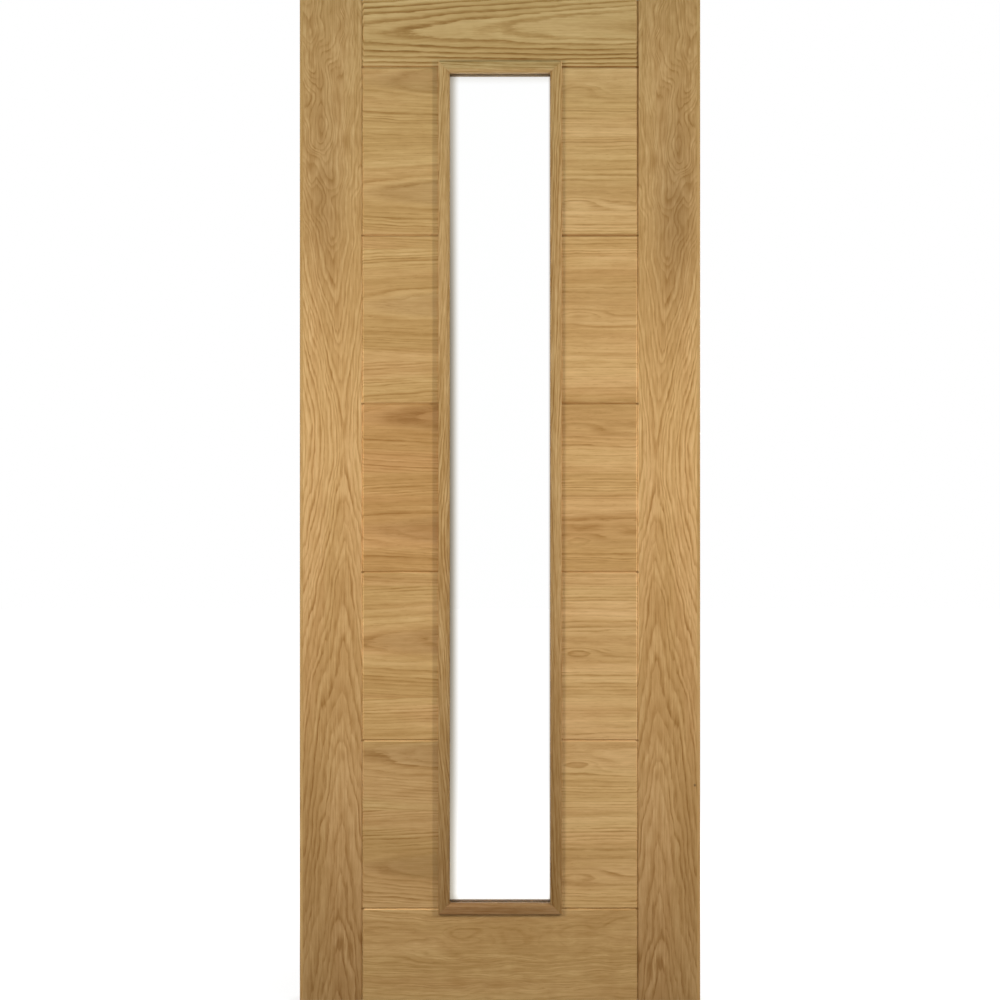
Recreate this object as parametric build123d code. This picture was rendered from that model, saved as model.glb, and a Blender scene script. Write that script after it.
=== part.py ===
"""A glazed, oak-faced fire door leaf: stiles, rails, grooved panel boards and a tall glazed slot.

The origin is on the hinge edge, at the foot of the leaf and halfway through its thickness.
X runs across the leaf to the lock edge, Y from the front face to the back face, and Z is up.
All sizes are in millimetres.
"""

import os

from build123d import *

# Leaf
leaf_width = 813.0
leaf_height = 2032.0
leaf_thickness = 44.0

# Stiles and rails: a laminated core, a veneered facing on each side, and a solid lipping on the long edge
stile_width = 127.0
top_rail_height = 137.0
bottom_rail_height = 186.0
facing_thickness = 4.0
lipping_thickness = 6.0
lipping_arris_radius = 1.5

# Panel boards, in rows beside the glazing, and the V-grooves along every joint that shows on a face
panel_rows = 5
groove_width = 6.0
groove_depth = 3.0

# Glazed slot, which runs from rail to rail
aperture_width = 228.0
glass_thickness = 7.0
glass_edge_clearance = 3.0
gasket_thickness = 2.0
gasket_setback = 0.2
gasket_butt_gap = 0.5

# Glazing beads: a body inside the slot, and a lip that laps over the boards around it
bead_body_width = 11.5
bead_lap = 11.0
bead_lip_thickness = 7.0
bead_splay = 6.0
bead_outer_radius = 2.5
bead_inner_radius = 1.5

# Places that follow from the sizes above
face = leaf_thickness / 2
core_face = face - facing_thickness
lock_stile_inside = leaf_width - stile_width
slot_left = (leaf_width - aperture_width) / 2
slot_right = slot_left + aperture_width
slot_bottom = bottom_rail_height
slot_top = leaf_height - top_rail_height
slot_height = slot_top - slot_bottom
row_height = slot_height / panel_rows
glass_face = glass_thickness / 2
bead_back = glass_face + gasket_thickness
bead_front = face + bead_lip_thickness

FRONT = -1
BACK = 1
SIDES = {"front": FRONT, "back": BACK}
STILES = {"hinge": stile_width, "lock": lock_stile_inside}


def block(x_range, y_range, z_range):
    """A square-edged block that fills three ranges, each given as its two ends."""
    lows, highs = zip(*(sorted(ends) for ends in (x_range, y_range, z_range)))
    sizes = [high - low for low, high in zip(lows, highs)]
    return Pos(*lows) * Box(*sizes, align=(Align.MIN, Align.MIN, Align.MIN))


def groove_cutter(side, start, end):
    """A V-shaped cutter along a joint from start to end, two (x, z) points on the front or back face."""
    (x0, z0), (x1, z1) = start, end
    along = Vector(x1 - x0, 0, z1 - z0)
    outward = Vector(0, side, 0)
    section = Plane(origin=(x0, side * face, z0), x_dir=outward.cross(along), z_dir=along)
    apex = (0, -groove_depth)
    # The walls run on above the face at the same slope, so that the cut leaves the face cleanly
    left, right = (-groove_width, groove_depth), (groove_width, groove_depth)
    triangle = make_face(Polyline(apex, left, right, close=True))
    return extrude(section * triangle, amount=along.length)


def stile_groove(side, stile):
    """The groove down the inner edge of a stile, over the full height of the leaf."""
    x = STILES[stile]
    return groove_cutter(side, (x, 0), (x, leaf_height))


def row_groove(side, z):
    """The groove across the leaf at height z, from stile to stile."""
    return groove_cutter(side, (stile_width, z), (lock_stile_inside, z))


def stile_lipping(stile):
    """Solid oak strip on the outer edge of a stile, with both long arrises eased."""
    outer, inner = (0, lipping_thickness) if stile == "hinge" else (leaf_width, leaf_width - lipping_thickness)
    strip = block((outer, inner), (-face, face), (0, leaf_height))
    arrises = strip.edges().filter_by(Axis.Z).filter_by_position(Axis.X, outer, outer)
    return fillet(arrises, lipping_arris_radius)


def stile_range(stile):
    """Where a stile's core and facings run across the leaf, between its lipping and its inner edge."""
    if stile == "hinge":
        return lipping_thickness, stile_width
    return lock_stile_inside, leaf_width - lipping_thickness


def stile_core(stile):
    """Laminated timber core of a stile."""
    return block(stile_range(stile), (-core_face, core_face), (0, leaf_height))


def stile_facing(stile, side):
    """Veneered facing of a stile, with its half of the groove along the inner edge."""
    facing = block(stile_range(stile), (side * core_face, side * face), (0, leaf_height))
    return facing - stile_groove(side, stile)


def rail_core(z_range):
    """Laminated timber core of a rail, from stile to stile."""
    return block((stile_width, lock_stile_inside), (-core_face, core_face), z_range)


def rail_facing(z_range, side, panel_edge):
    """Veneered facing of a rail, grooved at both stiles and along its panel edge."""
    facing = block((stile_width, lock_stile_inside), (side * core_face, side * face), z_range)
    for stile in STILES:
        facing -= stile_groove(side, stile)
    return facing - row_groove(side, panel_edge)


def panel_board(stile, row):
    """One board of a panel column, counted from the top, grooved on both faces."""
    x_range = (stile_width, slot_left) if stile == "hinge" else (slot_right, lock_stile_inside)
    top = slot_top - (row - 1) * row_height
    bottom = top - row_height
    board = block(x_range, (-face, face), (bottom, top))
    for side in SIDES.values():
        board -= stile_groove(side, stile)
        board -= row_groove(side, top)
        board -= row_groove(side, bottom)
    return board


def bead(half_slot):
    """One mitred glazing bead, for a slot edge that is twice half_slot long.

    Here X points into the slot from its edge, Y out of the face, and Z along the bead.
    """
    inner_front = (bead_body_width - bead_splay, bead_front)
    outer_front = (-bead_lap, bead_front)
    outline = [
        (0, bead_back),
        (bead_body_width, bead_back),
        inner_front,
        outer_front,
        (-bead_lap, face),
        (0, face),
    ]
    section = make_face(Polyline(*outline, close=True))
    section = fillet(section.vertices().sort_by_distance((*inner_front, 0))[0], bead_inner_radius)
    section = fillet(section.vertices().sort_by_distance((*outer_front, 0))[0], bead_outer_radius)
    length = 2 * (half_slot + bead_lap)
    strip = Pos(0, 0, -length / 2) * extrude(section, amount=length)
    for end in (1, -1):
        mitre = Plane(origin=(0, 0, end * half_slot), z_dir=(1, 0, end))
        strip = split(strip, bisect_by=mitre, keep=Keep.BOTTOM)
    return strip


def gasket_strip(half_length):
    """One strip of glazing gasket, in the same directions as a bead."""
    across = (glass_edge_clearance, bead_body_width - gasket_setback)
    return block(across, (glass_face, bead_back), (-half_length, half_length))


def slot_edges():
    """The four edges of the slot: name, middle (x, z), direction into the slot, and half the edge's length."""
    mid_x = leaf_width / 2
    mid_z = (slot_top + slot_bottom) / 2
    half_width = aperture_width / 2
    half_height = slot_height / 2
    return [
        ("hinge_side", (slot_left, mid_z), Vector(1, 0, 0), half_height),
        ("lock_side", (slot_right, mid_z), Vector(-1, 0, 0), half_height),
        ("top", (mid_x, slot_top), Vector(0, 0, -1), half_width),
        ("bottom", (mid_x, slot_bottom), Vector(0, 0, 1), half_width),
    ]


def slot_edge_frame(middle, inward, side):
    """The directions of a bead or gasket strip on one edge of the slot, on the front or the back."""
    outward = Vector(0, side, 0)
    return Plane(origin=(middle[0], 0, middle[1]), x_dir=inward, z_dir=inward.cross(outward))


def gasket(side):
    """The four gasket strips on one side of the glass: long ones full height, short ones between them."""
    strips = []
    for name, middle, inward, half_length in slot_edges():
        if name in ("top", "bottom"):
            length = half_length - (bead_body_width - gasket_setback) - gasket_butt_gap
        else:
            length = half_length - glass_edge_clearance
        strips.append(slot_edge_frame(middle, inward, side) * gasket_strip(length))
    return Compound(strips)


def glass_pane():
    """The fire-resisting glass, held by its edges between the gaskets."""
    x_range = (slot_left + glass_edge_clearance, slot_right - glass_edge_clearance)
    z_range = (slot_bottom + glass_edge_clearance, slot_top - glass_edge_clearance)
    return block(x_range, (-glass_face, glass_face), z_range)


def leaf_pieces():
    """Every piece of the leaf, by its name."""
    pieces = {}
    for stile in STILES:
        pieces[f"{stile}_stile_lipping"] = stile_lipping(stile)
        pieces[f"{stile}_stile_core"] = stile_core(stile)
        for side_name, side in SIDES.items():
            pieces[f"{stile}_stile_{side_name}_facing"] = stile_facing(stile, side)

    rails = {"top_rail": (slot_top, leaf_height), "bottom_rail": (0, slot_bottom)}
    panel_edges = {"top_rail": slot_top, "bottom_rail": slot_bottom}
    for rail, z_range in rails.items():
        pieces[f"{rail}_core"] = rail_core(z_range)
        for side_name, side in SIDES.items():
            pieces[f"{rail}_{side_name}_facing"] = rail_facing(z_range, side, panel_edges[rail])

    for stile in STILES:
        for row in range(1, panel_rows + 1):
            pieces[f"{stile}_side_panel_{row}"] = panel_board(stile, row)

    for side_name, side in SIDES.items():
        for edge, middle, inward, half_length in slot_edges():
            frame = slot_edge_frame(middle, inward, side)
            pieces[f"{side_name}_bead_{edge}"] = frame * bead(half_length)
        pieces[f"{side_name}_gasket"] = gasket(side)

    pieces["glass_pane"] = glass_pane()
    return pieces


os.makedirs("parts", exist_ok=True)
for name, piece in leaf_pieces().items():
    export_step(piece, f"parts/{name}.step")
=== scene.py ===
"""Looks of the glazed oak fire door leaf: lacquered oak, core ends, glass and gasket, studio and camera."""

import logging
import math
from collections.abc import Callable
from dataclasses import asdict, dataclass, fields, replace
from enum import Enum

import bpy
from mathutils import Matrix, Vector


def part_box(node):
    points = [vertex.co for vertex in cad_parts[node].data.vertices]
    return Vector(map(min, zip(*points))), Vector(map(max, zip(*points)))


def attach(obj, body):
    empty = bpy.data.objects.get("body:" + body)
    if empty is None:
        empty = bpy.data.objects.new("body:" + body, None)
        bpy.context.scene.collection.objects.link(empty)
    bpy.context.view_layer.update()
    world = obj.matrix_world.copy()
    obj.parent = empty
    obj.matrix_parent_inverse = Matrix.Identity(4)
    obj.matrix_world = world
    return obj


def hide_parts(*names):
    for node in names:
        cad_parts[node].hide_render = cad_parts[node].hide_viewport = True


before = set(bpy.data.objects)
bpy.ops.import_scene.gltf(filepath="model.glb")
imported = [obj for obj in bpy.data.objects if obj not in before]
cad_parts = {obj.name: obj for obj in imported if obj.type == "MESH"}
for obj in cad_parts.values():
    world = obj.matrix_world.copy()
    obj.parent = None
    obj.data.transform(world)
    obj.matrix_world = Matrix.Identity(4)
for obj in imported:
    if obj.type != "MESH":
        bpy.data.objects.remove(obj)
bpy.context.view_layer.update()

MM = 0.001
BODY = "root"

log = logging.getLogger("fire_door")

Colour = tuple[float, float, float]
Place = tuple[float, float, float]


class Face(Enum):
    """The two broad faces of the leaf."""

    FRONT = "front"
    BACK = "back"


class Hand(Enum):
    """The two long sides of the leaf."""

    HINGE = "hinge"
    LOCK = "lock"


class Level(Enum):
    """The two rails, by their place in the leaf."""

    TOP = "top"
    BOTTOM = "bottom"


class SlotEdge(Enum):
    """The four edges of the glazed slot."""

    HINGE_SIDE = "hinge_side"
    LOCK_SIDE = "lock_side"
    TOP = "top"
    BOTTOM = "bottom"


class Grain(Enum):
    """Which way the grain of a board runs."""

    UPRIGHT = "upright"
    LEVEL = "level"


@dataclass(frozen=True)
class LeafSizes:
    """Sizes and places read from the frame, in metres."""

    width: float
    height: float
    front_face: float
    hinge_joint: float
    lock_joint: float
    slot_left: float
    slot_right: float
    slot_bottom: float
    slot_top: float
    row_height: float
    bead_front: float
    bead_back: float
    sight_left: float
    sight_right: float
    sight_bottom: float
    sight_top: float

    @classmethod
    def from_frame(cls) -> "LeafSizes":
        """Reads the sizes from the boxes of the leaf's pieces.

        Returns:
            The sizes.
        """
        hinge_low, hinge_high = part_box("hinge_stile_front_facing")
        panel_low, panel_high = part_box("hinge_side_panel_1")
        lock_low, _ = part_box("lock_stile_front_facing")
        lipping_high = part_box("lock_stile_lipping")[1]
        left_low, left_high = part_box("front_bead_hinge_side")
        right_low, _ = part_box("front_bead_lock_side")
        foot_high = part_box("front_bead_bottom")[1]
        head_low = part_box("front_bead_top")[0]
        return cls(
            width=lipping_high.x,
            height=hinge_high.z,
            front_face=hinge_low.y,
            hinge_joint=hinge_high.x,
            lock_joint=lock_low.x,
            slot_left=panel_high.x,
            slot_right=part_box("lock_side_panel_1")[0].x,
            slot_bottom=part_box("bottom_rail_core")[1].z,
            slot_top=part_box("top_rail_core")[0].z,
            row_height=panel_high.z - panel_low.z,
            bead_front=left_low.y,
            bead_back=left_high.y,
            sight_left=left_high.x,
            sight_right=right_low.x,
            sight_bottom=foot_high.z,
            sight_top=head_low.z,
        )


class Signal:
    """A number, vector or colour in a shader graph, with the usual arithmetic for numbers."""

    def __init__(self, graph: "Graph", socket: bpy.types.NodeSocket) -> None:
        """Keeps the graph and the output socket."""
        self.graph = graph
        self.socket = socket

    def __add__(self, other: "Source") -> "Signal":
        """The sum."""
        return self.graph.math("ADD", self, other)

    def __sub__(self, other: "Source") -> "Signal":
        """The difference."""
        return self.graph.math("SUBTRACT", self, other)

    def __rsub__(self, other: "Source") -> "Signal":
        """The difference from a constant."""
        return self.graph.math("SUBTRACT", other, self)

    def __mul__(self, other: "Source") -> "Signal":
        """The product."""
        return self.graph.math("MULTIPLY", self, other)

    def __truediv__(self, other: "Source") -> "Signal":
        """The quotient."""
        return self.graph.math("DIVIDE", self, other)

    def __rtruediv__(self, other: "Source") -> "Signal":
        """The quotient of a constant."""
        return self.graph.math("DIVIDE", other, self)

    __radd__ = __add__
    __rmul__ = __mul__


Source = Signal | float | tuple


class Graph:
    """Adds shader nodes to one node tree and links them."""

    def __init__(self, tree: bpy.types.NodeTree) -> None:
        """Keeps the tree that the nodes go into."""
        self.tree = tree

    def add(self, kind: str, **settings: object) -> bpy.types.Node:
        """Adds one node.

        Args:
            kind: Blender's name for the node's type.
            settings: properties of the node, such as its operation.

        Returns:
            The new node.
        """
        node = self.tree.nodes.new(kind)
        for name, value in settings.items():
            setattr(node, name, value)
        return node

    def feed(self, socket: bpy.types.NodeSocket, source: Source) -> None:
        """Links an input to a signal, or sets it to a constant.

        Args:
            socket: the input.
            source: a signal, a number, or a colour of three numbers.
        """
        if isinstance(source, Signal):
            self.tree.links.new(source.socket, socket)
        elif socket.type == "RGBA":
            socket.default_value = (*source, 1.0)
        else:
            socket.default_value = source

    def wire(
        self, kind: str, output: str | int, sources: dict[str | int, Source], **settings: object
    ) -> Signal:
        """Adds one node, feeds it and gives one of its outputs.

        Args:
            kind: Blender's name for the node's type.
            output: the name or number of the output.
            sources: what the inputs are fed with, by their names or numbers.
            settings: properties of the node.

        Returns:
            The output.
        """
        node = self.add(kind, **settings)
        for name, source in sources.items():
            self.feed(node.inputs[name], source)
        return Signal(self, node.outputs[output])

    def math(self, operation: str, *values: Source) -> Signal:
        """Adds a Math node, with Blender's name for its operation and a source for each input."""
        return self.wire("ShaderNodeMath", "Value", dict(enumerate(values)), operation=operation)

    def remap(
        self, value: Source, low: float, high: float, at_low: Source = 0.0, at_high: Source = 1.0
    ) -> Signal:
        """Carries a value smoothly from one range to another.

        Args:
            value: what is carried over.
            low: where the result starts to leave at_low.
            high: where the result reaches at_high.
            at_low: the result up to low.
            at_high: the result from high on.

        Returns:
            The result.
        """
        sources = {"Value": value, "From Min": low, "From Max": high, "To Min": at_low, "To Max": at_high}
        return self.wire("ShaderNodeMapRange", "Result", sources, interpolation_type="SMOOTHSTEP")

    def mix(self, share: Source, first: Source, second: Source, blend: str = "MIX") -> Signal:
        """Mixes two colours.

        Args:
            share: how much of the second colour is used.
            first: the colour at share 0.
            second: the colour at share 1.
            blend: Blender's name for the way of mixing.

        Returns:
            The mixed colour.
        """
        node = self.add("ShaderNodeMix", data_type="RGBA", blend_type=blend)
        colours = [socket for socket in node.inputs if socket.type == "RGBA"]
        self.feed(node.inputs["Factor"], share)
        self.feed(colours[0], first)
        self.feed(colours[1], second)
        return Signal(self, next(socket for socket in node.outputs if socket.type == "RGBA"))

    def vector(self, x: Source, y: Source, z: Source) -> Signal:
        """Joins three numbers into a vector."""
        return self.wire("ShaderNodeCombineXYZ", "Vector", {"X": x, "Y": y, "Z": z})

    def split(self, vector: Signal) -> tuple[Signal, ...]:
        """Splits a vector.

        Args:
            vector: the vector.

        Returns:
            Its three numbers.
        """
        node = self.add("ShaderNodeSeparateXYZ")
        self.feed(node.inputs["Vector"], vector)
        return tuple(Signal(self, socket) for socket in node.outputs)

    def noise(self, place: Signal, detail: float = 2.0, roughness: float = 0.5) -> Signal:
        """Adds fractal noise with about one bump for each unit of the place.

        Args:
            place: where in the noise each point reads.
            detail: how many finer layers are added.
            roughness: how strong each finer layer is.

        Returns:
            The noise, which keeps to the middle of the range from 0 to 1.
        """
        sources = {"Vector": place, "Scale": 1.0, "Detail": detail, "Roughness": roughness}
        return self.wire("ShaderNodeTexNoise", 0, sources, noise_dimensions="3D", normalize=True)

    def random(self, first: Source, second: Source) -> Signal:
        """Gives an unchanging random number from 0 to 1 for each pair of numbers."""
        pair = self.vector(first, second, 0.0)
        return self.wire("ShaderNodeTexWhiteNoise", "Value", {"Vector": pair}, noise_dimensions="2D")

    def here(self) -> tuple[Signal, ...]:
        """Gives the place on the leaf, as X, Y and Z in metres."""
        return self.split(Signal(self, self.add("ShaderNodeTexCoord").outputs["Object"]))

    def use(self, group: bpy.types.NodeTree, given: dict[str, Source]) -> dict[str, Signal]:
        """Places a node group.

        Args:
            group: the group.
            given: what its inputs are fed with, by their names.

        Returns:
            Its outputs, by their names.
        """
        node = self.add("ShaderNodeGroup", node_tree=group)
        for name, source in given.items():
            self.feed(node.inputs[name], source)
        return {socket.name: Signal(self, socket) for socket in node.outputs}

    def seen(self) -> Signal:
        """Tells rays that show the surroundings from rays that only light the leaf.

        Returns:
            1 for camera, reflected and transmitted rays that no surface has scattered, and 0 for others.
        """
        path = {socket.name: Signal(self, socket) for socket in self.add("ShaderNodeLightPath").outputs}
        mirrored = self.math("MAXIMUM", path["Is Glossy Ray"], path["Is Transmission Ray"])
        direct = self.math("LESS_THAN", path["Diffuse Depth"], 0.5)
        return self.math("MAXIMUM", path["Is Camera Ray"], mirrored * direct)


class GroupGraph(Graph):
    """A graph inside a new node group with named inputs and outputs."""

    NUMBER = "NodeSocketFloat"
    COLOUR = "NodeSocketColor"
    VECTOR = "NodeSocketVector"

    def __init__(self, name: str, inputs: dict[str, str], outputs: dict[str, str]) -> None:
        """Makes the group and its sockets.

        Args:
            name: the group's name.
            inputs: the type of each input, by its name.
            outputs: the type of each output, by its name.
        """
        super().__init__(bpy.data.node_groups.new(name, "ShaderNodeTree"))
        for way, sockets in (("INPUT", inputs), ("OUTPUT", outputs)):
            for socket, kind in sockets.items():
                self.tree.interface.new_socket(socket, in_out=way, socket_type=kind)
        given = self.add("NodeGroupInput").outputs
        self.given = {name: Signal(self, given[name]) for name in inputs}
        self.result = self.add("NodeGroupOutput").inputs

    def give(self, name: str, source: Source) -> None:
        """Feeds one output of the group."""
        self.feed(self.result[name], source)


def socket_name(field: str) -> str:
    """Turns a dataclass field's name into the name of the group input that takes it."""
    return field.replace("_", " ").title()


@dataclass(frozen=True)
class OakFigure:
    """How one board was cut from its log, with lengths in metres, and slopes across the grain over along it.

    Attributes:
        heart_across: where the heart of the figure runs, across the grain.
        crown_along: where the figure turns over, along the grain.
        mirror: -1 for the mirror image of a board, or else 1.
        taper_low: how fast the rings narrow before the crown.
        taper_high: how fast the rings narrow after the crown.
        turn: over what length the figure turns over.
        reach: how far from the crown the rings go on narrowing.
        spread: how far from the heart the flames keep their slope.
        drift_low: how the heart leans before the crown.
        drift_high: how the heart leans after the crown.
        heart_depth: how far under the front face the heart lies.
        heart_tone: share of light lost inside the main flame.
        ring_pitch: the usual width of a growth ring.
        ease: how much wider the rings are before the crown.
        leaf_width: width of a veneer leaf, after which the figure repeats.
        wander: how many rings the lines stray.
        swirl: how many rings they stray where the grain is wild.
        swirl_from: how far after the crown the grain turns wild.
        clear: how far the lines fade in the quiet zones.
        broken: how far the lines break up into streaks.
        eye_along: place of an eye in the figure, along the grain from the crown.
        eye_across: place of the eye beside the heart.
        eye_size: how much larger the eye is than a small one.
        eye_rings: how many rings stand in the eye.
        eye_tone: share of light lost round the eye.
        knot_along: place along the grain of a pin knot.
        knot_across: place of the pin knot across the grain.
        shade_low: share of light lost for each metre before the crown: painted shade, with some of the
            board's own tone along its length.
        shade_high: share of light lost for each metre after the crown, painted and toned in the same way.
        seed: keeps the board's figure apart from the others.
    """

    heart_across: float
    crown_along: float
    mirror: float = 1.0
    taper_low: float = 0.0
    taper_high: float = 0.0
    turn: float = 0.06
    reach: float = 1.5
    spread: float = 5.0
    drift_low: float = 0.0
    drift_high: float = 0.0
    heart_depth: float = 0.06
    heart_tone: float = 0.0
    ring_pitch: float = 0.0055
    ease: float = 0.0
    leaf_width: float = 10.0
    wander: float = 0.6
    swirl: float = 0.0
    swirl_from: float = 0.0
    clear: float = 0.6
    broken: float = 0.6
    eye_along: float = -9.0
    eye_across: float = 0.0
    eye_size: float = 1.0
    eye_rings: float = 0.0
    eye_tone: float = 0.0
    knot_along: float = -9.0
    knot_across: float = 0.0
    shade_low: float = 0.0
    shade_high: float = 0.0
    seed: float = 0.0


class BoardTint(Enum):
    """How the veneer of one board differs from its neighbours', as a factor on its colour."""

    PLAIN = (1.0, 1.0, 1.0)
    PINK = (0.96, 0.89, 0.84)
    GOLD = (0.97, 0.93, 0.90)
    PALE = (1.03, 1.03, 1.06)
    DEEP = (0.91, 0.92, 0.92)


@dataclass(frozen=True)
class OakFinish:
    """Colour of lacquered oak, in linear light, and how strongly its figure shows.

    Attributes:
        pale: colour between the rings.
        ring_strength: share of light lost in the darkest rings.
        fibre_strength: how strong the fine streaks are.
        blush: how much the heart and some zones turn pinkish brown.
        satin: roughness of the lacquer.
    """

    pale: Colour
    ring_strength: float
    fibre_strength: float = 0.4
    blush: float = 0.5
    satin: float = 0.42

    def tinted(self, tint: BoardTint) -> "OakFinish":
        """Gives the same finish on a board of another tint."""
        return replace(self, pale=tuple(own * other for own, other in zip(self.pale, tint.value)))


PANEL_OAK = {
    Hand.HINGE: OakFinish((0.585, 0.354, 0.134), 0.40, blush=0.6),
    Hand.LOCK: OakFinish((0.630, 0.390, 0.155), 0.37, blush=0.4),
}
STILE_OAK = OakFinish((0.622, 0.368, 0.142), 0.48, fibre_strength=0.6, blush=0.3)
TOP_RAIL_OAK = OakFinish((0.590, 0.372, 0.148), 0.64, blush=0.2)
BOTTOM_RAIL_OAK = OakFinish((0.540, 0.328, 0.124), 0.30, fibre_strength=0.5, blush=0.3)
BEAD_OAK = OakFinish((0.522, 0.312, 0.122), 0.52, fibre_strength=0.8, blush=0.25, satin=0.38)
TOP_BEAD_OAK = OakFinish((0.535, 0.348, 0.145), 0.52, fibre_strength=0.8, blush=0.0, satin=0.38)
FOOT_BEAD_OAK = OakFinish((0.350, 0.192, 0.076), 0.45, fibre_strength=0.8, satin=0.38)
LIPPING_OAK = OakFinish((0.520, 0.310, 0.115), 0.35, blush=0.3)

# Share of light lost inside the panels' flames, and tint of each board from the top
HEART_TONES = {Hand.HINGE: 0.12, Hand.LOCK: 0.03}
BOARD_TINTS = {
    Hand.HINGE: (BoardTint.PLAIN, BoardTint.PLAIN, BoardTint.PINK, BoardTint.PLAIN, BoardTint.DEEP),
    Hand.LOCK: (BoardTint.PLAIN, BoardTint.GOLD, BoardTint.GOLD, BoardTint.PALE, BoardTint.PLAIN),
}


@dataclass(frozen=True)
class NoiseLayer:
    """One layer of noise in a board.

    Attributes:
        along: bumps in a metre along the grain.
        across: bumps in a metre across the grain.
        weight: how strongly it counts.
        detail: how many finer layers are added.
        roughness: how strong each finer layer is.
    """

    along: float
    across: float
    weight: float = 1.0
    detail: float = 2.0
    roughness: float = 0.5


@dataclass
class BoardNoise:
    """Noise that is drawn out along the grain of one board.

    Attributes:
        graph: the graph that the nodes go into.
        along: place along the grain.
        across: place across the grain.
        depth: place under the front face.
        seed: keeps one board's noise apart from another's.
    """

    graph: Graph
    along: Signal
    across: Signal
    depth: Signal
    seed: Signal

    def sum(self, *layers: NoiseLayer) -> Signal:
        """Adds up layers of noise.

        Args:
            layers: the layers.

        Returns:
            The noise, as much under nought as over it.
        """
        total = 0.0
        for layer in layers:
            deep = self.depth * layer.across + self.seed
            place = self.graph.vector(self.along * layer.along, self.across * layer.across, deep)
            total = total + (self.graph.noise(place, layer.detail, layer.roughness) - 0.5) * layer.weight
        return total

    def by_ring(self, rings: Signal, pace: float, page: float) -> Signal:
        """Adds noise with so many bumps to a ring. The page keeps one such noise apart from another."""
        return self.graph.noise(self.graph.vector(rings * pace, self.seed, page), 1.0) - 0.5


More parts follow.
